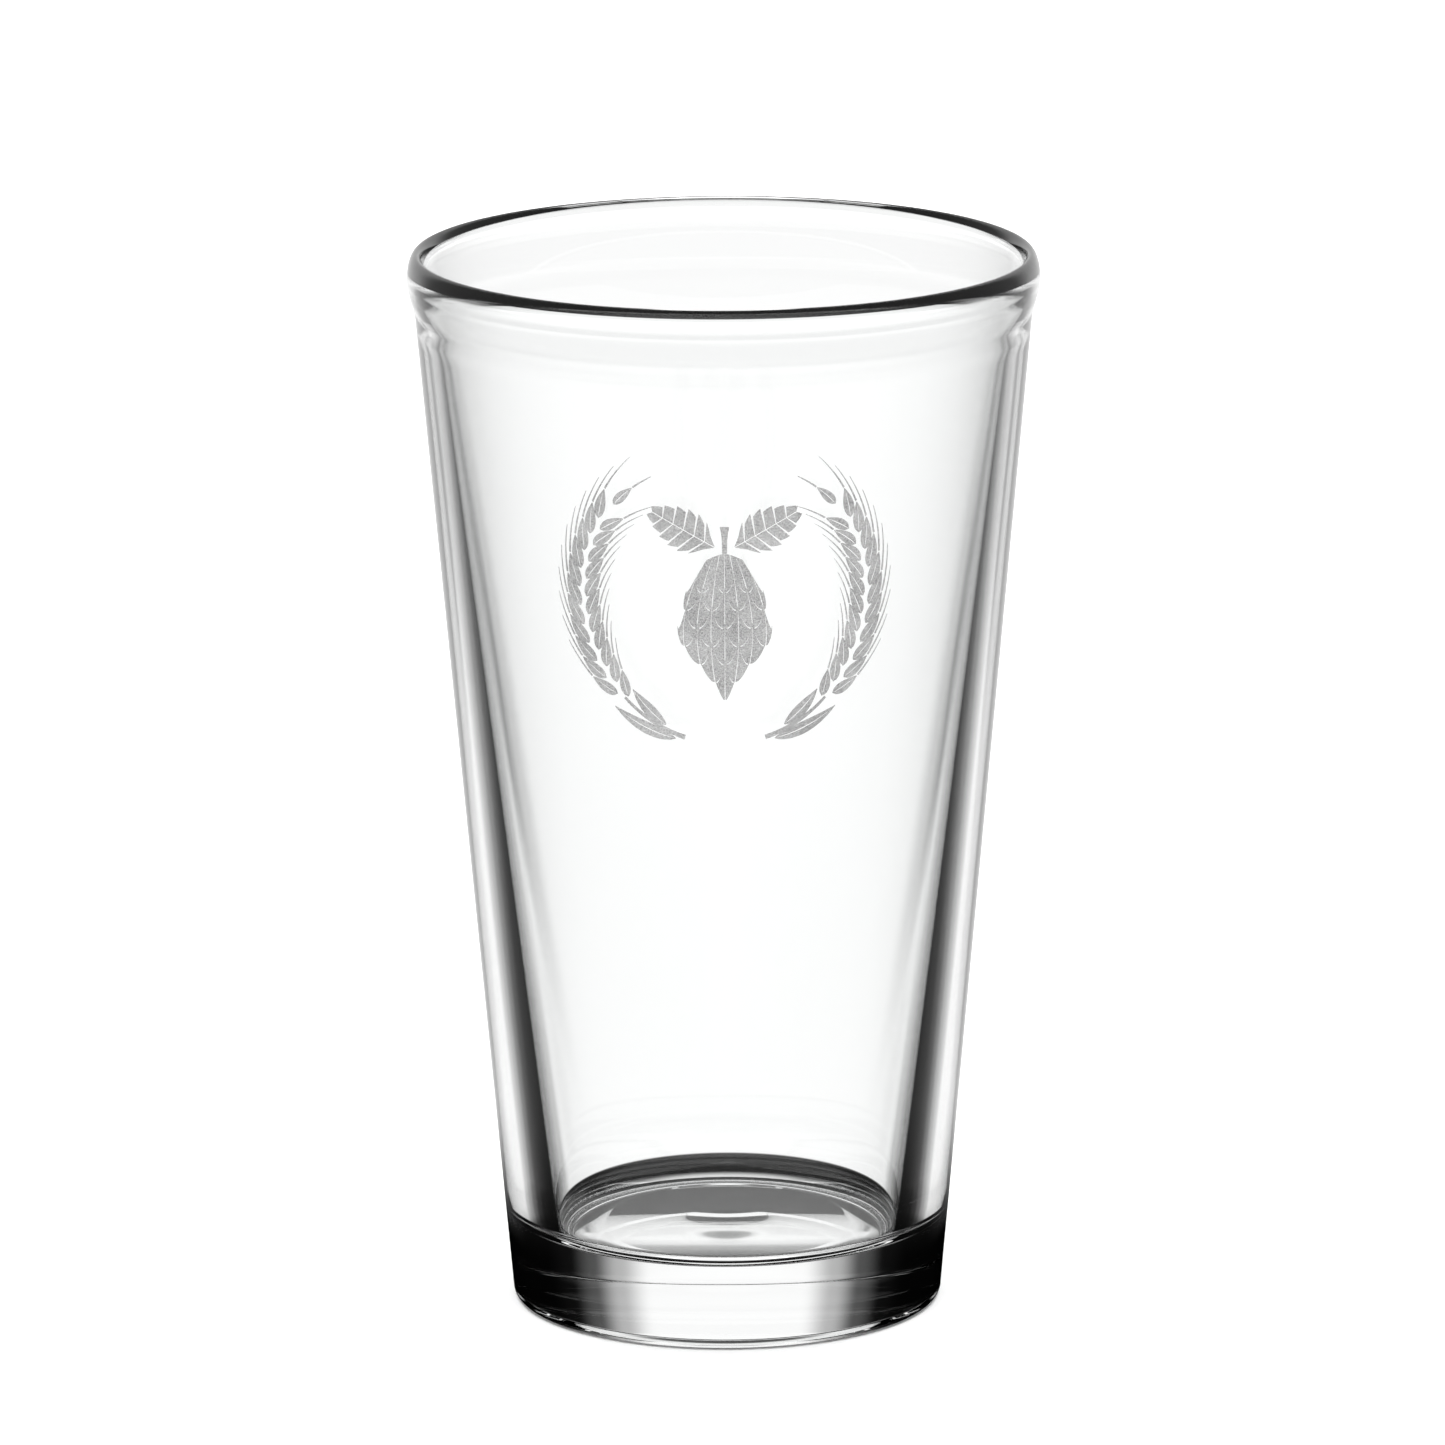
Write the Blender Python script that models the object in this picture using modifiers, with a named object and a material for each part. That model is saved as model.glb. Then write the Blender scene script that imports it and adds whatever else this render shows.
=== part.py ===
"""A tapered 16 oz pint glass with a thick foot, a beaded rim and a frosted barley and hop mark.

Metres, +Z up. The origin is the centre of the foot, on the surface that the glass stands on, and the
mark faces -Y. The glass is one pressed piece. The mark is part of its outer skin, kept as thin plates of
their own so that its finish can be changed or left out.
"""

import math

import bmesh
import bpy

# Whole glass
HEIGHT = 0.1492
ROUND_STEPS = 96

# Outer wall: a straight cone from the heel up to the rim
FOOT_RADIUS = 0.03005  # where the cone would meet the ground
OUTER_TAPER = 0.0900  # radius gained per unit of height

# Rim: a rolled bead, a little thicker than the wall under it
BEAD_RADIUS = 0.0425  # middle of the bead
BEAD_HALF_WIDTH = 0.00128
BEAD_HALF_HEIGHT = 0.0034
NECK_DEPTH = 0.0085  # how far under the top both straight walls end and the bead begins to swell

# Inner wall: a steeper cone, so that the wall thickens towards the foot
FLOOR_HEIGHT = 0.0104
FLOOR_DISH = 0.0009  # the floor is this much lower at its centre
INNER_RADIUS = 0.02415  # where the inner cone would meet the floor
INNER_TAPER = 0.1219
FILLET_ACROSS = 0.0070  # the corner over the floor is a quarter of an ellipse
FILLET_UP = 0.0030

# Underside: a rounded heel, a flat ring that the glass stands on, and a shallow hollow inside it
HEEL_RADIUS = 0.0013
RING_WIDTH = 0.0020
HOLLOW_HEIGHT = 0.0014
HOLLOW_EDGE = 0.0008  # height of the short bevel between the ring and the hollow

# Mark: plates on the front of the wall, drawn flat as (across, up) from the mark's centre
MARK_HEIGHT = 0.1084
MARK_GAP = 0.0005
MARK_THICKNESS = 0.0004
EAR_RADIUS = 0.0200
EAR_START = math.radians(16)  # from straight down, so the two ears stay apart
EAR_END = math.radians(152)
EAR_HALF_WIDTH = 0.0040
EAR_GRAINS = 11
CONE_HALF_WIDTH = 0.0075
CONE_TOP = 0.0066
CONE_BOTTOM = -0.0138
CONE_ROWS = 6
LEAF_LENGTH = 0.0095
LEAF_HALF_WIDTH = 0.0029
LEAF_ROOT = (0.0015, 0.0080)
LEAF_TILT = math.radians(30)  # of a leaf's midrib above level
LEAF_TEETH = 3

GLASS_COLOUR = (0.93, 0.95, 0.95, 1.0)
GLASS_ROUGHNESS = 0.03
GLASS_INDEX = 1.52
FROST_COLOUR = (0.42, 0.42, 0.43, 1.0)
FROST_ROUGHNESS = 0.75


def clear_scene():
    for obj in list(bpy.data.objects):
        bpy.data.objects.remove(obj, do_unlink=True)


def new_collection(name):
    collection = bpy.data.collections.new(name)
    bpy.context.scene.collection.children.link(collection)
    return collection


def glass_material():
    material = bpy.data.materials.new("clear_glass")
    material.use_nodes = True
    shader = material.node_tree.nodes["Principled BSDF"]
    shader.inputs["Base Color"].default_value = GLASS_COLOUR
    shader.inputs["Roughness"].default_value = GLASS_ROUGHNESS
    shader.inputs["IOR"].default_value = GLASS_INDEX
    shader.inputs["Transmission Weight"].default_value = 1.0
    return material


def frost_material():
    material = bpy.data.materials.new("frosted_skin")
    material.use_nodes = True
    shader = material.node_tree.nodes["Principled BSDF"]
    shader.inputs["Base Color"].default_value = FROST_COLOUR
    shader.inputs["Roughness"].default_value = FROST_ROUGHNESS
    return material


def outer_radius(height):
    return FOOT_RADIUS + OUTER_TAPER * height


def inner_radius(height):
    return INNER_RADIUS + INNER_TAPER * (height - FLOOR_HEIGHT)


def arc(centre, size, start, end, segments):
    """Points on an ellipse of half-sizes `size`, from angle `start` to `end` in degrees."""
    points = []
    for i in range(segments + 1):
        angle = math.radians(start + (end - start) * i / segments)
        points.append((centre[0] + size[0] * math.cos(angle), centre[1] + size[1] * math.sin(angle)))
    return points


def line(start, end, segments):
    """Points between `start` and `end`, without the two ends."""
    return [
        (
            start[0] + (end[0] - start[0]) * i / segments,
            start[1] + (end[1] - start[1]) * i / segments,
        )
        for i in range(1, segments)
    ]


def dish(radius, height, rise, segments):
    """Points of a shallow parabola from the axis, `rise` above `height`, out to `radius`."""
    return [
        (radius * i / segments, height + rise * (1 - (i / segments) ** 2)) for i in range(segments + 1)
    ]


def floor_fillet():
    """The round corner between the floor and the inner cone, tangent to both."""
    lean = math.atan(INNER_TAPER * FILLET_UP / FILLET_ACROSS)
    centre_height = FLOOR_HEIGHT + FILLET_UP
    contact_height = centre_height - FILLET_UP * math.sin(lean)
    centre_radius = inner_radius(contact_height) - FILLET_ACROSS * math.cos(lean)
    return arc((centre_radius, centre_height), (FILLET_ACROSS, FILLET_UP), -90, -math.degrees(lean), 9)


def heel():
    """The round corner between the outer cone and the ground."""
    lean = math.degrees(math.atan(OUTER_TAPER))
    centre_radius = outer_radius(HEEL_RADIUS) - HEEL_RADIUS / math.cos(math.radians(lean))
    return arc((centre_radius, HEEL_RADIUS), (HEEL_RADIUS, HEEL_RADIUS), -lean, -90, 5)


def glass_profile():
    """From the floor's centre out, up the inner wall, over the rim, down the outer wall and under."""
    corner = floor_fillet()
    bead_height = HEIGHT - BEAD_HALF_HEIGHT
    bead = arc((BEAD_RADIUS, bead_height), (BEAD_HALF_WIDTH, BEAD_HALF_HEIGHT), 195, -40, 13)
    neck = HEIGHT - NECK_DEPTH
    neck_inside = (inner_radius(neck), neck)
    neck_outside = (outer_radius(neck), neck)
    foot = heel()
    ring_inside = foot[-1][0] - RING_WIDTH
    hollow_radius = ring_inside - HOLLOW_EDGE
    hollow = dish(hollow_radius, HOLLOW_EDGE, HOLLOW_HEIGHT - HOLLOW_EDGE, 4)
    return (
        dish(corner[0][0], FLOOR_HEIGHT, -FLOOR_DISH, 4)[:-1]
        + corner
        + line(corner[-1], neck_inside, 5)
        + [neck_inside]
        + bead
        + [neck_outside]
        + line(neck_outside, foot[0], 5)
        + foot
        + [(ring_inside, 0.0)]
        + hollow[::-1]
    )


def turned(name, profile, material, collection):
    """A closed solid of revolution from a profile in the XZ plane that starts and ends on the axis."""
    mesh = bpy.data.meshes.new(name)
    edges = [(i, i + 1) for i in range(len(profile) - 1)]
    mesh.from_pydata([(radius, 0.0, height) for radius, height in profile], edges, [])
    obj = bpy.data.objects.new(name, mesh)
    collection.objects.link(obj)
    screw = obj.modifiers.new("turn", "SCREW")
    screw.steps = ROUND_STEPS
    screw.render_steps = ROUND_STEPS
    screw.use_merge_vertices = True
    screw.merge_threshold = 0.00001
    screw.use_smooth_shade = True
    mesh.materials.append(material)
    return obj


def on_wall(across, up):
    """The point over the front of the outer wall that a flat point of the mark wraps onto."""
    height = MARK_HEIGHT + up
    radius = outer_radius(height) + MARK_GAP
    angle = across / outer_radius(MARK_HEIGHT)
    return (radius * math.sin(angle), -radius * math.cos(angle), height)


def plate(name, flat_point, columns, rows, material, collection):
    """A thin plate wrapped on the wall. flat_point(side, along) takes side in -1..1 and along in 0..1."""
    mesh = bpy.data.meshes.new(name)
    grid = bmesh.new()
    bmesh.ops.create_grid(grid, x_segments=columns, y_segments=rows, size=1.0)
    for vertex in grid.verts:
        vertex.co = on_wall(*flat_point(vertex.co.x, (vertex.co.y + 1) / 2))
    bmesh.ops.recalc_face_normals(grid, faces=grid.faces)
    if sum(face.normal.y * face.calc_area() for face in grid.faces) > 0:
        bmesh.ops.reverse_faces(grid, faces=grid.faces)
    grid.to_mesh(mesh)
    grid.free()
    obj = bpy.data.objects.new(name, mesh)
    collection.objects.link(obj)
    thickness = obj.modifiers.new("thickness", "SOLIDIFY")
    thickness.thickness = MARK_THICKNESS
    thickness.offset = 1.0
    mesh.materials.append(material)
    return obj


def scallops(along, count):
    """1 at the middle of each scallop and 0.55 between two of them."""
    return 0.55 + 0.45 * abs(math.sin(math.pi * count * along))


def tapered(along):
    """A width that grows from a narrow start and closes to a narrow tip."""
    return 0.12 + 0.88 * math.sin(math.pi * along) ** 0.6


def ear(hand):
    """A barley ear that curves up one side of the mark; hand is -1 for left and 1 for right."""

    def flat_point(side, along):
        angle = EAR_START + (EAR_END - EAR_START) * along
        half_width = EAR_HALF_WIDTH * tapered(along) * scallops(along, EAR_GRAINS)
        radius = EAR_RADIUS + side * half_width
        return hand * radius * math.sin(angle), -radius * math.cos(angle)

    return flat_point


def hop_cone(side, along):
    """The hop's cone, which hangs with its point down."""
    half_width = CONE_HALF_WIDTH * tapered(along) * scallops(along, CONE_ROWS)
    return side * half_width, CONE_BOTTOM + (CONE_TOP - CONE_BOTTOM) * along


def leaf(hand):
    """A leaf that spreads from the top of the hop's cone; hand is -1 for left and 1 for right."""

    def flat_point(side, along):
        half_width = LEAF_HALF_WIDTH * tapered(along) * scallops(along, LEAF_TEETH)
        out = LEAF_LENGTH * along
        across = LEAF_ROOT[0] + out * math.cos(LEAF_TILT) - side * half_width * math.sin(LEAF_TILT)
        up = LEAF_ROOT[1] + out * math.sin(LEAF_TILT) + side * half_width * math.cos(LEAF_TILT)
        return hand * across, up

    return flat_point


def main():
    clear_scene()
    collection = new_collection("pint_glass")
    glass = glass_material()
    frost = frost_material()
    turned("glass_body", glass_profile(), glass, collection)
    plate("etched_hop_cone", hop_cone, 6, 6 * CONE_ROWS, frost, collection)
    for hand, word in ((-1, "left"), (1, "right")):
        plate(f"etched_{word}_ear", ear(hand), 2, 6 * EAR_GRAINS, frost, collection)
        plate(f"etched_{word}_leaf", leaf(hand), 4, 6 * LEAF_TEETH, frost, collection)


main()
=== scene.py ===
"""How the pint glass looks: its clear body, the frosted barley and hop mark, and the studio round them.

Metres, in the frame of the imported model: +Z up, the foot's centre at the origin, the mark facing -Y.
"""

import math

import bmesh
import bpy
from mathutils import Matrix, Vector, noise


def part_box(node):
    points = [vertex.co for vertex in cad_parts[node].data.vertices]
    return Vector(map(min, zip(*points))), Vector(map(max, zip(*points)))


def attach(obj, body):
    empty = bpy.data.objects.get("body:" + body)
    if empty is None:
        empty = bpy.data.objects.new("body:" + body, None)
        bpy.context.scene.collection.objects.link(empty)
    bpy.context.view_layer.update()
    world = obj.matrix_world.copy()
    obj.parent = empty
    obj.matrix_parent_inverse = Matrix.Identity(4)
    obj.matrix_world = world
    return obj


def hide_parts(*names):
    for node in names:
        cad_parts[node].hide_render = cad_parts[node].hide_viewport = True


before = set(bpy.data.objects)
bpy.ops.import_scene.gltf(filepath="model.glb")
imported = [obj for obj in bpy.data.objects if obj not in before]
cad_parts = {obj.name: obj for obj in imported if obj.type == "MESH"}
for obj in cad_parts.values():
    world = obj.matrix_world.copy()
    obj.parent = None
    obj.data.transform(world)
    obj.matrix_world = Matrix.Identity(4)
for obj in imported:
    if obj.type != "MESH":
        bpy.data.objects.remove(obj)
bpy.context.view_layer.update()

BODY = "root"
GLASS_NODE = "glass_body"

# The whole glass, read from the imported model
lowest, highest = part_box(GLASS_NODE)
HEIGHT = highest[2]
RIM_RADIUS = highest[0]

# Outer wall: a straight cone from the heel up to the rim
FOOT_RADIUS = 0.03005
OUTER_TAPER = 0.0900

# Inner wall and floor
FLOOR_HEIGHT = 0.0104
FLOOR_DISH = 0.0006
DIMPLE_DEPTH = 0.0003
DIMPLE_RADIUS = 0.0075
INNER_RADIUS = 0.02415
INNER_TAPER = 0.1219
FILLET_ACROSS = 0.0070
FILLET_UP = 0.0030
FLOOR_STEPS = 60
CORNER_STEPS = 40

# Underside
HEEL_RADIUS = 0.0013
RING_WIDTH = 0.0020
HOLLOW_EDGE = 0.0008
HOLLOW_HEIGHT = 0.0014
HEEL_STEPS = 16
HOLLOW_STEPS = 24

# Rim bead, from its inner end over the top to its outer end in degrees
BEAD_HALF_WIDTH = 0.00128
BEAD_HALF_HEIGHT = 0.0034
BEAD_ENDS = (195, -40)
NECK_DEPTH = 0.0085
BEAD_STEPS = 40
INNER_STEPS = 60
OUTER_STEPS = 40

# The pressed glass isn't perfectly round inside: slow waves run round and up the wall
WAVE_DEPTH = 0.000025
WAVE_LENGTH = 0.017
WAVE_START = 0.020
WAVE_FADE = 0.020
WAVE_STRETCH = 0.35  # under 1, so the waves are longer up the wall than round it
WAVE_SEED = Vector((3.7, 1.9, 8.2))
ROUND_STEPS = 384
AXIS_RADIUS = 1e-7  # nearer the axis than this, a ring is one point

GLASS_INDEX = 1.52
GLASS_COLOUR = (0.995, 1.0, 0.998, 1.0)
SCUFF_HEIGHT = 0.0004
SCUFF_ROUGHNESS = 0.35
SCUFF_SCALE = 1400

# The frosting: grains per metre and patches of cover per metre, and how dark and light they get
FROST_GRAIN = 5600
FROST_PATCH = 260
PATCH_SHARE = 0.25
FROST_DARK = 0.20
FROST_LIGHT = 0.58
FROST_THROUGH = 0.3  # the share of light that it scatters through instead of back
FROST_BUMP = 0.5
FROST_BUMP_DEPTH = 0.00003

# The floor's tone
FLOOR_SCALE = 6
FLOOR_ROUGHNESS = 0.7
FLOOR_SHINE = 0.2

# The mark, drawn flat as (across, up) from its centre and wrapped on the front of the wall
MARK_HEIGHT = 0.1084
MARK_GAP = 0.00002
MARK_THICKNESS = 0.00006
SLIT = 0.00013  # the clear line between two frosted areas

EAR_RADIUS = 0.0200
EAR_START = math.radians(16)
EAR_LENGTH = 0.0472
GRAIN_ROWS = 11
GRAIN_START = 0.0108
GRAIN_PITCH = 0.0026
GRAIN_LENGTH = 0.0045
GRAIN_HALF_WIDTH = 0.00084
GRAIN_OFFSET = 0.00050
GRAIN_LEAN = math.radians(26)
AWN_LENGTH = 0.0058
AWN_LEAN = math.radians(15)
AWN_HALF_WIDTH = 0.00013
AWN_TAPER = 0.75
STEM_HALF_WIDTH = 0.00034
STEM_TAPER = 0.45
GRAIN_STAGGER = 0.25  # how far the outer row is ahead and the inner one behind, in pitches
GRAIN_FULLNESS = 0.72
END_GRAIN = (0.4, 0.8)  # pitches past the last pair, and its size
LEAST_WIDTH = 0.03
BLADES = ((0.0014, 1, 0.0092), (0.0034, -1, 0.0071))  # each leaf's start, side and length
BLADE_OFFSET = 0.00062
BLADE_HALF_WIDTH = 0.00085
BLADE_LEAN = math.radians(9)
BLADE_CREASE = 0.09
BLADE_FULLNESS = 0.8

CONE_HALF_WIDTH = 0.0057
CONE_TOP = 0.0066
CONE_BOTTOM = -0.0138
CONE_ROWS = 7
OUTER_SHARE = 0.45  # how much of a scale shows past the cone's own outline
BRACT_DROP = 1.35  # how far a scale hangs under its row, in pitches
BRACT_FILL = 0.93  # the rest of its width is the gap to the next one
BRACT_LEAST = 0.00006
STALK_HALF_WIDTH = 0.00034
STALK_FLARE = 0.0003
STALK_GAP = 0.0003
STALK_LENGTH = 0.0038

LEAF_LENGTH = 0.0096
LEAF_HALF_WIDTH = 0.0030
LEAF_ROOT = (0.0013, 0.0078)
LEAF_TILT = math.radians(30)
LEAF_VEINS = 6
VEIN_SWEEP = 0.13

# Camera, as the photograph sees the glass
CAMERA_DISTANCE = 1.3954
CAMERA_HEIGHT = 0.4127
CAMERA_PITCH = math.radians(13.32)
CAMERA_YAW = 0.00027
CAMERA_ROLL = -0.0038
CAMERA_LENS = 255.9
SENSOR = 36.0

# The lit backdrop, as the glass bends it. Brightness against degrees round from +Y, near the tabletop,
# just above its edge, and higher up
AROUND = (0, 180)
BEHIND_TABLE = [(0, 1.0), (21, 1.0), (26, 0.60), (30, 0.40), (35, 0.16), (40, 0.045), (46, 0.010)]
BEHIND_TABLE += [(54, 0.002), (180, 0.001)]
BEHIND_EDGE = [(0, 1.0), (12, 1.0), (15.8, 0.75), (19.5, 0.28), (24, 0.55), (30, 0.4), (36, 0.12)]
BEHIND_EDGE += [(44, 0.012), (54, 0.002), (180, 0.001)]
BEHIND_HIGH = [(0, 0.93), (14, 0.93), (21, 0.45), (27.7, 0.08), (35, 0.004), (45, 0.001), (180, 0.001)]
BEHIND_GAIN = 1.12

# Brightness, and the change from one of those to the next, against degrees of elevation
UPWARD = (-90, 90)
ELEVATION = [(-60, 0.002), (-35, 0.004), (-28, 0.02), (-25.5, 0.2), (-23.3, 0.8), (-21.5, 1.0)]
ELEVATION += [(25, 1.0), (35, 0.05), (60, 0.01)]
TABLE_TO_EDGE = [(-19, 0), (-18, 1)]
EDGE_TO_HIGH = [(-13, 0), (-11.5, 1)]

# Fill away from the backdrop: steep directions at the sides and the front, and straight down all round
ROUND_FILL = [(0, 0), (40, 0), (56, 1), (180, 1)]
STEEP_FILL = [(-90, 0.9), (-38, 0.9), (-29, 0), (26, 0), (40, 0.6), (90, 0.6)]
UNDER_FILL = [(-90, 0.9), (-72, 0.9), (-63, 0)]

# What the glass mirrors: bright behind, dimmer elsewhere, and dark close round the foot
MIRRORED = [(0, 1.0), (32, 1.0), (50, 0.35), (180, 0.35)]
DARK_RADIUS = 0.110
DARK_CORE = 0.045
DARK_STEPS = 96

# Gridded light round the other sides: it shines straight in, and its grid cuts it off at an angle.
# A tent is (degrees of tilt, low end, high end, radius at the low end). A cut is (degrees, degrees more
# for each metre up from the low end)
TENT_OPENING = [(0, 0), (32, 0), (38, 1), (180, 1)]
LOW_TENT = (-17, -0.045, 0.125, 0.086)
HIGH_TENT = (16, 0.0, 0.065, 0.10)
LOW_CUT = (13.7, 20.0)
HIGH_CUT = (11.5, 0.0)
GRID_EDGE = [(0, 1), (0.7, 1), (1.0, 0)]  # light against the share of the cut
TENT_STRENGTH = 0.95
TENT_STEPS = 180
TENT_ROWS = 12

# The sheet behind the rim: its middle's (y, z), its tilt, and its half sizes across and up
RIM_SHEET = (0.0885, 0.102)
RIM_SHEET_TILT = math.radians(45)
RIM_SHEET_HALF = (0.055, 0.028)
RIM_CUT = (26.0, 0.0)
RIM_OPENING = [(0, 1), (180, 1)]

# The floor, and the soft lights: name, place, size and watts
FLOOR_SIZE = 3.0
FLOOR_CELLS = 8
FLOOR_DROP = 0.00002
DARK_DROP = 0.00001
LIGHTS = [
    ("overhead", (0.0, -0.1, 1.7), 1.8, 54.0),
    ("front_left", (-1.0, -1.3, 0.55), 0.9, 9.0),
    ("front_right", (1.0, -1.3, 0.55), 0.9, 9.0),
    ("back_left", (-1.0, 1.3, 0.9), 0.9, 9.0),
    ("back_right", (1.0, 1.3, 0.9), 0.9, 9.0),
]

# Light paths long enough for the foot
MAX_BOUNCES = 32
CLEAR_BOUNCES = 24


def outer_radius(height):
    return FOOT_RADIUS + OUTER_TAPER * height


def inner_radius(height):
    return INNER_RADIUS + INNER_TAPER * (height - FLOOR_HEIGHT)


# ---------------------------------------------------------------- the clear body


def arc(centre, size, start, end, segments):
    """Points on an ellipse of half-sizes `size`, from angle `start` to `end` in degrees."""
    points = []
    for i in range(segments + 1):
        angle = math.radians(start + (end - start) * i / segments)
        points.append((centre[0] + size[0] * math.cos(angle), centre[1] + size[1] * math.sin(angle)))
    return points


def line(start, end, segments):
    """Points between `start` and `end`, without the two ends."""
    return [
        (start[0] + (end[0] - start[0]) * i / segments, start[1] + (end[1] - start[1]) * i / segments)
        for i in range(1, segments)
    ]


def dish(radius, height, rise, segments):
    """Points of a shallow parabola from the axis, `rise` above `height`, out to `radius`."""
    return [(radius * i / segments, height + rise * (1 - (i / segments) ** 2)) for i in range(segments + 1)]


def floor_points(radius):
    """The dished floor from its centre out, with the plunger's shallow dimple in the middle."""
    points = []
    for r, z in dish(radius, FLOOR_HEIGHT, -FLOOR_DISH, FLOOR_STEPS)[:-1]:
        if r < DIMPLE_RADIUS:
            z -= DIMPLE_DEPTH * (1 + math.cos(math.pi * r / DIMPLE_RADIUS)) / 2
        points.append((r, z))
    return points


def floor_corner():
    """The quarter ellipse between the floor and the inner cone, tangent to both."""
    lean = math.atan(INNER_TAPER * FILLET_UP / FILLET_ACROSS)
    centre_height = FLOOR_HEIGHT + FILLET_UP
    contact_height = centre_height - FILLET_UP * math.sin(lean)
    centre_radius = inner_radius(contact_height) - FILLET_ACROSS * math.cos(lean)
    centre = (centre_radius, centre_height)
    return arc(centre, (FILLET_ACROSS, FILLET_UP), -90, -math.degrees(lean), CORNER_STEPS)


def heel():
    """The round corner between the outer cone and the ground."""
    lean = math.degrees(math.atan(OUTER_TAPER))
    centre_radius = outer_radius(HEEL_RADIUS) - HEEL_RADIUS / math.cos(math.radians(lean))
    return arc((centre_radius, HEEL_RADIUS), (HEEL_RADIUS, HEEL_RADIUS), -lean, -90, HEEL_STEPS)


def glass_profile():
    """From the floor's centre out, up the inner wall, over the rim, down the outer wall and under.

    Each point says whether it is on the inner wall.
    """
    corner = floor_corner()
    bead_centre = (RIM_RADIUS - BEAD_HALF_WIDTH, HEIGHT - BEAD_HALF_HEIGHT)
    bead = arc(bead_centre, (BEAD_HALF_WIDTH, BEAD_HALF_HEIGHT), *BEAD_ENDS, BEAD_STEPS)
    neck = HEIGHT - NECK_DEPTH
    neck_inside = (inner_radius(neck), neck)
    neck_outside = (outer_radius(neck), neck)
    foot = heel()
    ring_inside = foot[-1][0] - RING_WIDTH
    hollow = dish(ring_inside - HOLLOW_EDGE, HOLLOW_EDGE, HOLLOW_HEIGHT - HOLLOW_EDGE, HOLLOW_STEPS)
    inside = floor_points(corner[0][0]) + corner
    inside += line(corner[-1], neck_inside, INNER_STEPS) + [neck_inside]
    outside = bead + [neck_outside] + line(neck_outside, foot[0], OUTER_STEPS)
    outside += foot + [(ring_inside, 0.0)]
    return [(r, z, True) for r, z in inside] + [(r, z, False) for r, z in outside + hollow[::-1]]


def wave(angle, height):
    """How far the inner wall is off its cone here. It fades out towards the floor and the rim."""
    fade = min(1.0, max(0.0, (height - WAVE_START) / WAVE_FADE))
    fade *= min(1.0, max(0.0, (HEIGHT - NECK_DEPTH - height) / WAVE_FADE))
    if fade == 0.0:
        return 0.0
    radius = inner_radius(height)
    place = Vector((radius * math.cos(angle), radius * math.sin(angle), height * WAVE_STRETCH))
    return WAVE_DEPTH * fade * noise.noise(place / WAVE_LENGTH + WAVE_SEED)


def turned(name, profile, steps):
    """A closed solid of revolution from a profile that starts and ends on the axis."""
    made = bmesh.new()
    rings = []
    for radius, height, inner in profile:
        if radius < AXIS_RADIUS:
            rings.append([made.verts.new((0, 0, height))])
            continue
        ring = []
        for i in range(steps):
            angle = 2 * math.pi * i / steps
            r = radius + (wave(angle, height) if inner else 0.0)
            ring.append(made.verts.new((r * math.cos(angle), r * math.sin(angle), height)))
        rings.append(ring)
    for a, b in zip(rings[:-1], rings[1:]):
        for i in range(steps):
            j = (i + 1) % steps
            if len(a) == 1:
                made.faces.new((a[0], b[i], b[j]))
            elif len(b) == 1:
                made.faces.new((a[i], b[0], a[j]))
            else:
                made.faces.new((a[i], b[i], b[j], a[j]))
    return finished(name, made, smooth=True)


def finished(name, made, smooth):
    """The bmesh as an object, with its normals facing out."""
    bmesh.ops.recalc_face_normals(made, faces=made.faces)
    for face in made.faces:
        face.smooth = smooth
    mesh = bpy.data.meshes.new(name)
    made.to_mesh(mesh)
    made.free()
    obj = bpy.data.objects.new(name, mesh)
    bpy.context.scene.collection.objects.link(obj)
    return obj


# ---------------------------------------------------------------- the frosted mark


def on_wall(across, up, lift):
    """Where a flat point of the mark lies on the front of the wall, `lift` off it."""
    height = MARK_HEIGHT + up
    radius = outer_radius(height) + lift
    angle = across / outer_radius(MARK_HEIGHT)
    return (radius * math.sin(angle), -radius * math.cos(angle), height)


def skin(made, flat_point, columns, rows):
    """Adds a closed thin skin on the wall. flat_point(side, along) takes side and along in 0..1."""
    layers = []
    for lift in (MARK_GAP, MARK_GAP + MARK_THICKNESS):
        grid = []
        for j in range(rows + 1):
            points = [flat_point(i / columns, j / rows) for i in range(columns + 1)]
            grid.append([made.verts.new(on_wall(x, y, lift)) for x, y in points])
        layers.append(grid)
    under, over = layers
    for j in range(rows):
        for i in range(columns):
            made.faces.new((over[j][i], over[j][i + 1], over[j + 1][i + 1], over[j + 1][i]))
            made.faces.new((under[j][i], under[j + 1][i], under[j + 1][i + 1], under[j][i + 1]))
    edge = [(0, i) for i in range(columns)] + [(j, columns) for j in range(rows)]
    edge += [(rows, i) for i in range(columns, 0, -1)] + [(j, 0) for j in range(rows, 0, -1)]
    for (j, i), (l, k) in zip(edge, edge[1:] + edge[:1]):
        made.faces.new((over[j][i], under[j][i], under[l][k], over[l][k]))


def ear_point(hand, along, off):
    """The flat point `along` the ear's curve and `off` it, outwards."""
    angle = EAR_START + along / EAR_RADIUS
    radius = EAR_RADIUS + off
    return hand * radius * math.sin(angle), -radius * math.cos(angle)


def blade(start, off, length, half_width, lean, low, high, fullness, hand):
    """A leaf-shaped outline on an ear, from `low` to `high` of its width, as a flat_point for skin()."""

    def flat_point(side, along):
        width = half_width * max(LEAST_WIDTH, math.sin(math.pi * along**fullness)) ** 0.85
        across = width * (low + (high - low) * side)
        reach = length * along
        s = start + reach * math.cos(lean) - across * math.sin(lean)
        t = off + reach * math.sin(lean) + across * math.cos(lean)
        return ear_point(hand, s, t)

    return flat_point


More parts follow.
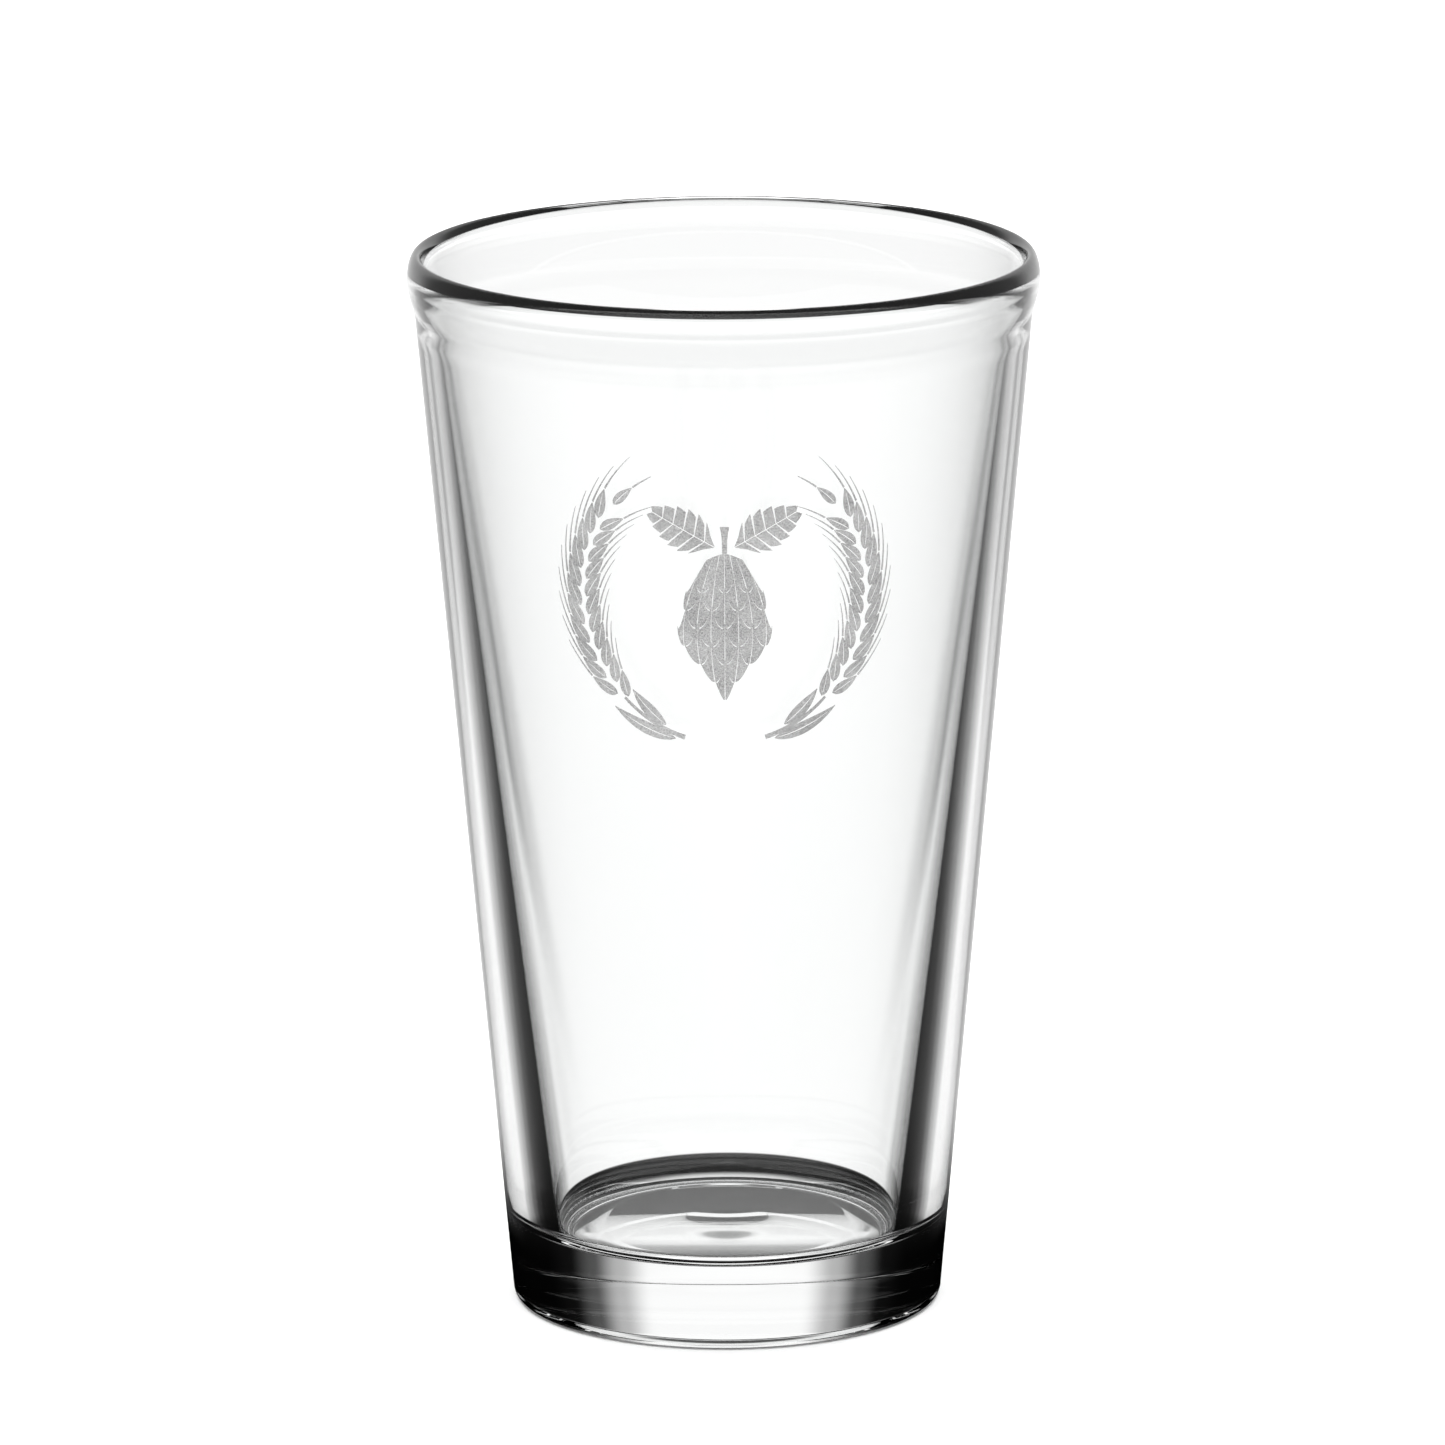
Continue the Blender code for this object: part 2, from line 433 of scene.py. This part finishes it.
def grain(made, hand, start, row, size):
    """One barley grain: two halves with the crease between them, and its awn."""
    off = row * GRAIN_OFFSET
    lean = row * GRAIN_LEAN
    split = SLIT / GRAIN_HALF_WIDTH / 2
    length = GRAIN_LENGTH * size
    half_width = GRAIN_HALF_WIDTH * size
    for low, high in ((-1.0, -split), (split, 1.0)):
        half = blade(start, off, length, half_width, lean, low, high, GRAIN_FULLNESS, hand)
        skin(made, half, 3, 12)
    tip = (start + length * math.cos(lean), off + length * math.sin(lean))
    awn_lean = row * AWN_LEAN
    gap = SLIT * 1.2

    def awn(side, along):
        width = AWN_HALF_WIDTH * (1 - AWN_TAPER * along)
        reach = gap + AWN_LENGTH * size * along
        s = tip[0] + reach * math.cos(awn_lean)
        t = tip[1] + reach * math.sin(awn_lean) + width * (2 * side - 1)
        return ear_point(hand, min(s, EAR_LENGTH), t)

    skin(made, awn, 1, 8)


def ear(name, hand):
    """A barley ear up one side of the mark: its stem with two narrow leaves, and two rows of grains."""
    made = bmesh.new()

    def stem(side, along):
        width = STEM_HALF_WIDTH * (1 - STEM_TAPER * along)
        return ear_point(hand, 0.0002 + (GRAIN_START - 0.0006) * along, width * (2 * side - 1))

    skin(made, stem, 1, 24)
    for start, row, length in BLADES:
        off, lean = row * BLADE_OFFSET, row * BLADE_LEAN
        for low, high in ((-1.0, -BLADE_CREASE), (BLADE_CREASE, 1.0)):
            half = blade(start, off, length, BLADE_HALF_WIDTH, lean, low, high, BLADE_FULLNESS, hand)
            skin(made, half, 3, 20)
    for i in range(GRAIN_ROWS):
        size = 0.80 + 0.20 * math.sin(math.pi * (0.15 + 0.7 * i / (GRAIN_ROWS - 1)))
        for row in (-1, 1):
            grain(made, hand, GRAIN_START + GRAIN_PITCH * (i + row * GRAIN_STAGGER), row, size)
    past, size = END_GRAIN
    grain(made, hand, GRAIN_START + GRAIN_PITCH * (GRAIN_ROWS + past), 0, size)
    return finished(name, made, smooth=False)


def cone_half_width(up):
    """Half the hop cone's width at a height of the mark. It is widest above its middle."""
    share = (up - CONE_BOTTOM) / (CONE_TOP - CONE_BOTTOM)
    share = min(1.0, max(0.0, share))
    return CONE_HALF_WIDTH * math.sin(math.pi * (0.07 + 0.83 * share) ** 0.85) ** 0.75


def bract(made, row, centre, pitch):
    """One scale of the hop's cone. Its lower edge is round, and its top is cut by the row above it."""
    third = 1 / 3
    foot = CONE_BOTTOM + pitch * (row + BRACT_DROP)

    def lower(share):
        return -BRACT_DROP * pitch * (1 - min(1.0, abs(share)) ** 2.2) ** 0.8

    for low, high in ((-1.0, 0.0), (0.0, 1.0)):

        def flat_point(side, along):
            share = low + (high - low) * side
            share *= BRACT_FILL
            bottom = lower(share)
            top = pitch + lower(1 - abs(share)) - SLIT * 1.6
            reach = centre + share * third
            if row == CONE_ROWS - 1:
                top = pitch * (0.15 + 0.6 * max(0.0, 1 - (reach / 1.33) ** 2))
            top = max(top, bottom + BRACT_LEAST)
            up = foot + bottom + (top - bottom) * along
            slit = (SLIT * 0.42 if high > 0 else -SLIT * 0.42) * (1 - 0.9 * along)
            if abs(reach) > 1:
                reach = math.copysign(1 + (abs(reach) - 1) * OUTER_SHARE, reach)
            return reach * cone_half_width(up) + slit, up

        skin(made, flat_point, 10, 6)


def hop_cone(name):
    """The hop's cone, which hangs with its point down, and its stalk."""
    made = bmesh.new()
    pitch = (CONE_TOP - CONE_BOTTOM) / (CONE_ROWS + BRACT_DROP - 0.35)
    for row in range(CONE_ROWS):
        centres = (-1, -1 / 3, 1 / 3, 1) if row % 2 else (-2 / 3, 0, 2 / 3)
        if row < 2:
            centres = (-1 / 3, 1 / 3) if row else (0,)
        for centre in centres:
            bract(made, row, centre, pitch)

    def stalk(side, along):
        half_width = STALK_HALF_WIDTH + STALK_FLARE * along**3
        return half_width * (2 * side - 1), CONE_TOP + STALK_GAP + STALK_LENGTH * along

    skin(made, stalk, 2, 10)
    return finished(name, made, smooth=False)


def leaf(name, hand):
    """A serrated leaf: each half is cut into strips by the veins, and the midrib is the gap between them."""
    made = bmesh.new()
    for half in (-1, 1):
        for vein in range(LEAF_VEINS):
            start, end = vein / LEAF_VEINS, (vein + 1) / LEAF_VEINS
            gap = SLIT * 0.8 / LEAF_LENGTH

            def flat_point(side, along):
                run = start + gap / 2 + (end - start - gap) * along
                width = LEAF_HALF_WIDTH * math.sin(math.pi * (0.05 + 0.9 * run) ** 0.75) ** 0.8
                width *= 0.80 + 0.20 * along
                out = SLIT / 2 + width * side
                run += VEIN_SWEEP * side * (1 - 0.6 * run)
                reach = LEAF_LENGTH * run
                x = LEAF_ROOT[0] + reach * math.cos(LEAF_TILT) - half * out * math.sin(LEAF_TILT)
                y = LEAF_ROOT[1] + reach * math.sin(LEAF_TILT) + half * out * math.cos(LEAF_TILT)
                return hand * x, y

            skin(made, flat_point, 4, 4)
    return finished(name, made, smooth=False)


# ---------------------------------------------------------------- materials


def math_node(tree, operation, first, second=None, clamp=False):
    node = tree.nodes.new("ShaderNodeMath")
    node.operation = operation
    node.use_clamp = clamp
    for socket, value in zip(node.inputs, (first, second)):
        if value is None:
            continue
        if isinstance(value, (int, float)):
            socket.default_value = value
        else:
            tree.links.new(value, socket)
    return node.outputs[0]


def ramp_node(tree, factor, stops, interpolation="EASE"):
    """A grey ramp. Each stop is (position, value)."""
    node = tree.nodes.new("ShaderNodeValToRGB")
    node.color_ramp.interpolation = interpolation
    elements = node.color_ramp.elements
    while len(elements) > 1:
        elements.remove(elements[-1])
    for i, (position, value) in enumerate(stops):
        element = elements[0] if i == 0 else elements.new(position)
        element.position = position
        element.color = (value,) * 3 + (1,)
    tree.links.new(factor, node.inputs[0])
    return node.outputs[0]


def noise_node(tree, place, scale, detail):
    node = tree.nodes.new("ShaderNodeTexNoise")
    node.inputs["Scale"].default_value = scale
    node.inputs["Detail"].default_value = detail
    tree.links.new(place, node.inputs["Vector"])
    return node.outputs["Fac"]


def new_material(name):
    material = bpy.data.materials.new(name)
    material.use_nodes = True
    tree = material.node_tree
    place = tree.nodes.new("ShaderNodeTexCoord").outputs["Object"]
    return material, tree, tree.nodes["Principled BSDF"], place


def glass_material():
    """Clear soda-lime glass, polished, with the ring that it stands on scuffed by use."""
    material, tree, shader, place = new_material("clear_glass")
    shader.inputs["Base Color"].default_value = GLASS_COLOUR
    shader.inputs["IOR"].default_value = GLASS_INDEX
    shader.inputs["Transmission Weight"].default_value = 1.0
    split = tree.nodes.new("ShaderNodeSeparateXYZ")
    tree.links.new(place, split.inputs[0])
    low = math_node(tree, "DIVIDE", split.outputs["Z"], SCUFF_HEIGHT)
    low = math_node(tree, "SUBTRACT", 1.0, low, clamp=True)
    scuffs = ramp_node(tree, noise_node(tree, place, SCUFF_SCALE, 4), [(0.42, 0.0), (0.58, 1.0)])
    scuffs = math_node(tree, "MULTIPLY", scuffs, low)
    roughness = math_node(tree, "MULTIPLY", scuffs, SCUFF_ROUGHNESS)
    tree.links.new(roughness, shader.inputs["Roughness"])
    return material


def frost_material():
    """Sandblasted glass: matt grey, with a fine grain and slightly uneven cover."""
    material, tree, shader, place = new_material("etched_frost")
    speckle = noise_node(tree, place, FROST_GRAIN, 2)
    cover = noise_node(tree, place, FROST_PATCH, 2)
    both = math_node(tree, "MULTIPLY", cover, PATCH_SHARE)
    both = math_node(tree, "ADD", both, math_node(tree, "MULTIPLY", speckle, 1 - PATCH_SHARE))
    colour = ramp_node(tree, both, [(0.32, FROST_DARK), (0.68, FROST_LIGHT)], "LINEAR")
    tree.links.new(colour, shader.inputs["Base Color"])
    roughness = ramp_node(tree, speckle, [(0.3, 0.62), (0.7, 0.9)], "LINEAR")
    tree.links.new(roughness, shader.inputs["Roughness"])
    bump = tree.nodes.new("ShaderNodeBump")
    bump.inputs["Strength"].default_value = FROST_BUMP
    bump.inputs["Distance"].default_value = FROST_BUMP_DEPTH
    tree.links.new(speckle, bump.inputs["Height"])
    tree.links.new(bump.outputs[0], shader.inputs["Normal"])
    through = tree.nodes.new("ShaderNodeBsdfTranslucent")
    tree.links.new(colour, through.inputs["Color"])
    mix = tree.nodes.new("ShaderNodeMixShader")
    mix.inputs[0].default_value = FROST_THROUGH
    tree.links.new(shader.outputs[0], mix.inputs[1])
    tree.links.new(through.outputs[0], mix.inputs[2])
    tree.links.new(mix.outputs[0], tree.nodes["Material Output"].inputs["Surface"])
    return material


def floor_material():
    """Pale matt board, very slightly uneven."""
    material, tree, shader, place = new_material("pale_floor")
    uneven = noise_node(tree, place, FLOOR_SCALE, 5)
    tone = ramp_node(tree, uneven, [(0.3, 0.86), (0.7, 0.90)], "LINEAR")
    tree.links.new(tone, shader.inputs["Base Color"])
    shader.inputs["Roughness"].default_value = FLOOR_ROUGHNESS
    shader.inputs["Specular IOR Level"].default_value = FLOOR_SHINE
    return material


# ---------------------------------------------------------------- the studio


def degree_ramp(tree, degrees, span, stops):
    """A ramp over degrees that start at span[0] and end at span[1]."""
    share = math_node(tree, "SUBTRACT", degrees, span[0])
    share = math_node(tree, "DIVIDE", share, span[1] - span[0])
    return ramp_node(tree, share, [((d - span[0]) / (span[1] - span[0]), v) for d, v in stops])


def mixed(tree, share, first, second):
    """`first` where `share` is 0 and `second` where it is 1."""
    node = tree.nodes.new("ShaderNodeMix")
    node.data_type = "FLOAT"
    for socket, value in zip((0, 2, 3), (share, first, second)):
        tree.links.new(value, node.inputs[socket])
    return node.outputs[0]


def backdrop():
    """White to the camera. The glass bends a lit panel with dark sides, and mirrors a plainer one."""
    world = bpy.data.worlds.new("studio")
    bpy.context.scene.world = world
    world.use_nodes = True
    tree = world.node_tree
    tree.nodes.clear()
    split = tree.nodes.new("ShaderNodeSeparateXYZ")
    tree.links.new(tree.nodes.new("ShaderNodeTexCoord").outputs["Generated"], split.inputs[0])
    side = math_node(tree, "ABSOLUTE", split.outputs["X"])
    azimuth = math_node(tree, "ARCTAN2", side, split.outputs["Y"])
    azimuth = math_node(tree, "DEGREES", azimuth)
    elevation = math_node(tree, "DEGREES", math_node(tree, "ARCSINE", split.outputs["Z"]))
    table = degree_ramp(tree, azimuth, AROUND, BEHIND_TABLE)
    edge = degree_ramp(tree, azimuth, AROUND, BEHIND_EDGE)
    high = degree_ramp(tree, azimuth, AROUND, BEHIND_HIGH)
    light = mixed(tree, degree_ramp(tree, elevation, UPWARD, TABLE_TO_EDGE), table, edge)
    light = mixed(tree, degree_ramp(tree, elevation, UPWARD, EDGE_TO_HIGH), light, high)
    light = math_node(tree, "MULTIPLY", light, degree_ramp(tree, elevation, UPWARD, ELEVATION))
    light = math_node(tree, "MULTIPLY", light, BEHIND_GAIN)
    fill = degree_ramp(tree, azimuth, AROUND, ROUND_FILL)
    fill = math_node(tree, "MULTIPLY", fill, degree_ramp(tree, elevation, UPWARD, STEEP_FILL))
    fill = math_node(tree, "ADD", fill, degree_ramp(tree, elevation, UPWARD, UNDER_FILL))
    light = math_node(tree, "MAXIMUM", light, fill)
    path = tree.nodes.new("ShaderNodeLightPath")
    mirrored = degree_ramp(tree, azimuth, AROUND, MIRRORED)
    light = mixed(tree, path.outputs["Is Reflection Ray"], light, mirrored)
    bent = tree.nodes.new("ShaderNodeBackground")
    tree.links.new(light, bent.inputs["Color"])
    white = tree.nodes.new("ShaderNodeBackground")
    white.inputs["Color"].default_value = (1, 1, 1, 1)
    choice = tree.nodes.new("ShaderNodeMixShader")
    tree.links.new(path.outputs["Is Camera Ray"], choice.inputs[0])
    tree.links.new(bent.outputs[0], choice.inputs[1])
    tree.links.new(white.outputs[0], choice.inputs[2])
    output = tree.nodes.new("ShaderNodeOutputWorld")
    tree.links.new(choice.outputs[0], output.inputs["Surface"])


def tent_material(name, cut, low, opening):
    """Light behind a honeycomb grid, on a clear sheet: full straight on, none from `cut` degrees off."""
    material, tree, shader, place = new_material(name)
    tree.nodes.remove(shader)
    split = tree.nodes.new("ShaderNodeSeparateXYZ")
    tree.links.new(place, split.inputs[0])
    weight = tree.nodes.new("ShaderNodeLayerWeight")
    weight.inputs["Blend"].default_value = 0.5
    straight = math_node(tree, "SUBTRACT", 1.0, weight.outputs["Facing"], clamp=True)
    off = math_node(tree, "DEGREES", math_node(tree, "ARCCOSINE", straight))
    limit = math_node(tree, "SUBTRACT", split.outputs["Z"], low)
    limit = math_node(tree, "ADD", math_node(tree, "MULTIPLY", limit, cut[1]), cut[0])
    share = math_node(tree, "DIVIDE", off, limit)
    grid = degree_ramp(tree, share, (0, 1), GRID_EDGE)
    side = math_node(tree, "ABSOLUTE", split.outputs["X"])
    azimuth = math_node(tree, "DEGREES", math_node(tree, "ARCTAN2", side, split.outputs["Y"]))
    strength = math_node(tree, "MULTIPLY", grid, degree_ramp(tree, azimuth, AROUND, opening))
    strength = math_node(tree, "MULTIPLY", strength, TENT_STRENGTH)
    glow = tree.nodes.new("ShaderNodeEmission")
    tree.links.new(strength, glow.inputs["Strength"])
    clear = tree.nodes.new("ShaderNodeBsdfTransparent")
    both = tree.nodes.new("ShaderNodeAddShader")
    tree.links.new(glow.outputs[0], both.inputs[0])
    tree.links.new(clear.outputs[0], both.inputs[1])
    tree.links.new(both.outputs[0], tree.nodes["Material Output"].inputs["Surface"])
    return material


def only_through_glass(obj):
    """Leaves a stage object visible only to rays that pass through glass."""
    obj.visible_camera = False
    obj.visible_diffuse = False
    obj.visible_glossy = False
    obj.visible_shadow = False


def tent(name, shape, cut, opening):
    """A conical sheet of gridded light round the glass."""
    tilt, low, high, low_radius = shape
    made = bmesh.new()
    rings = []
    for j in range(TENT_ROWS + 1):
        height = low + (high - low) * j / TENT_ROWS
        radius = low_radius - (height - low) * math.tan(math.radians(tilt))
        ring = []
        for i in range(TENT_STEPS):
            angle = 2 * math.pi * i / TENT_STEPS
            ring.append(made.verts.new((radius * math.cos(angle), radius * math.sin(angle), height)))
        rings.append(ring)
    for a, b in zip(rings[:-1], rings[1:]):
        for i in range(TENT_STEPS):
            j = (i + 1) % TENT_STEPS
            made.faces.new((a[i], a[j], b[j], b[i]))
    for face in made.faces:
        face.smooth = True
    mesh = bpy.data.meshes.new(name)
    made.to_mesh(mesh)
    made.free()
    obj = bpy.data.objects.new(name, mesh)
    bpy.context.scene.collection.objects.link(obj)
    obj.data.materials.append(tent_material(name, cut, low, opening))
    only_through_glass(obj)


def dark_disc():
    """The shade close round the foot, which is seen only mirrored in the glass."""
    made = bmesh.new()
    bmesh.ops.create_circle(made, cap_ends=True, segments=DARK_STEPS, radius=DARK_RADIUS)
    obj = finished("dark_disc", made, smooth=False)
    obj.location.z = -DARK_DROP
    material, tree, shader, place = new_material("dark_disc")
    shader.inputs["Base Color"].default_value = (0, 0, 0, 1)
    shader.inputs["Specular IOR Level"].default_value = 0.0
    away = tree.nodes.new("ShaderNodeVectorMath")
    away.operation = "LENGTH"
    tree.links.new(place, away.inputs[0])
    fade = tree.nodes.new("ShaderNodeMapRange")
    fade.interpolation_type = "SMOOTHSTEP"
    fade.inputs["From Min"].default_value = DARK_CORE
    fade.inputs["From Max"].default_value = DARK_RADIUS
    fade.inputs["To Min"].default_value = 1.0
    fade.inputs["To Max"].default_value = 0.0
    tree.links.new(away.outputs["Value"], fade.inputs["Value"])
    tree.links.new(fade.outputs[0], shader.inputs["Alpha"])
    obj.data.materials.append(material)
    obj.visible_camera = False
    obj.visible_diffuse = False
    obj.visible_transmission = False
    obj.visible_shadow = False


def rim_sheet():
    """A small gridded sheet of light behind and under the far side of the rim."""
    made = bmesh.new()
    across, up = RIM_SHEET_HALF
    rise, run = up * math.sin(RIM_SHEET_TILT), up * math.cos(RIM_SHEET_TILT)
    y, z = RIM_SHEET
    low, high = (y - run, z - rise), (y + run, z + rise)
    corners = [(-across, *low), (across, *low), (across, *high), (-across, *high)]
    made.faces.new([made.verts.new(corner) for corner in corners])
    obj = finished("rim_sheet", made, smooth=False)
    obj.data.materials.append(tent_material("rim_sheet", RIM_CUT, 0.0, RIM_OPENING))
    only_through_glass(obj)


def floor():
    """The pale floor, just under the foot."""
    made = bmesh.new()
    bmesh.ops.create_grid(made, x_segments=FLOOR_CELLS, y_segments=FLOOR_CELLS, size=FLOOR_SIZE)
    obj = finished("pale_floor", made, smooth=False)
    if obj.data.polygons[0].normal.z < 0:
        obj.data.flip_normals()
    obj.location.z = -FLOOR_DROP
    obj.data.materials.append(floor_material())
    obj.visible_transmission = False
    obj.visible_glossy = False


def soft_lights():
    """Big soft lights that the matt surfaces see. The clear glass only shows the backdrop."""
    for name, place, size, power in LIGHTS:
        lamp = bpy.data.lights.new(name, "AREA")
        lamp.shape = "SQUARE"
        lamp.size = size
        lamp.energy = power
        obj = bpy.data.objects.new(name, lamp)
        bpy.context.scene.collection.objects.link(obj)
        obj.location = place
        aim = Vector((0, 0, HEIGHT / 2)) - Vector(place)
        obj.rotation_euler = aim.to_track_quat("-Z", "Y").to_euler()
        obj.visible_camera = False
        obj.visible_glossy = False
        obj.visible_transmission = False


def camera():
    data = bpy.data.cameras.new("camera")
    data.lens = CAMERA_LENS
    data.sensor_width = SENSOR
    obj = bpy.data.objects.new("camera", data)
    bpy.context.scene.collection.objects.link(obj)
    turn = Matrix.Rotation(CAMERA_YAW, 4, "Z") @ Matrix.Rotation(math.pi / 2 - CAMERA_PITCH, 4, "X")
    turn = turn @ Matrix.Rotation(CAMERA_ROLL, 4, "Z")
    obj.matrix_world = Matrix.Translation((0, -CAMERA_DISTANCE, CAMERA_HEIGHT)) @ turn
    bpy.context.scene.camera = obj


# ---------------------------------------------------------------- putting it together


def dress(piece, material, node):
    """Gives a piece its material and puts it in the place of its CAD node."""
    piece.data.materials.append(material)
    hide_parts(node)
    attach(piece, BODY)


camera()
backdrop()
tent("low_tent", LOW_TENT, LOW_CUT, TENT_OPENING)
tent("high_tent", HIGH_TENT, HIGH_CUT, TENT_OPENING)
rim_sheet()
dark_disc()
floor()
soft_lights()

dress(turned("clear_body", glass_profile(), ROUND_STEPS), glass_material(), GLASS_NODE)
frost = frost_material()
dress(ear("barley_left", -1), frost, "etched_left_ear")
dress(ear("barley_right", 1), frost, "etched_right_ear")
dress(hop_cone("hop"), frost, "etched_hop_cone")
dress(leaf("leaf_left", -1), frost, "etched_left_leaf")
dress(leaf("leaf_right", 1), frost, "etched_right_leaf")

scene = bpy.context.scene
scene.view_settings.view_transform = "Standard"
scene.cycles.max_bounces = MAX_BOUNCES
scene.cycles.transmission_bounces = CLEAR_BOUNCES
scene.cycles.transparent_max_bounces = CLEAR_BOUNCES
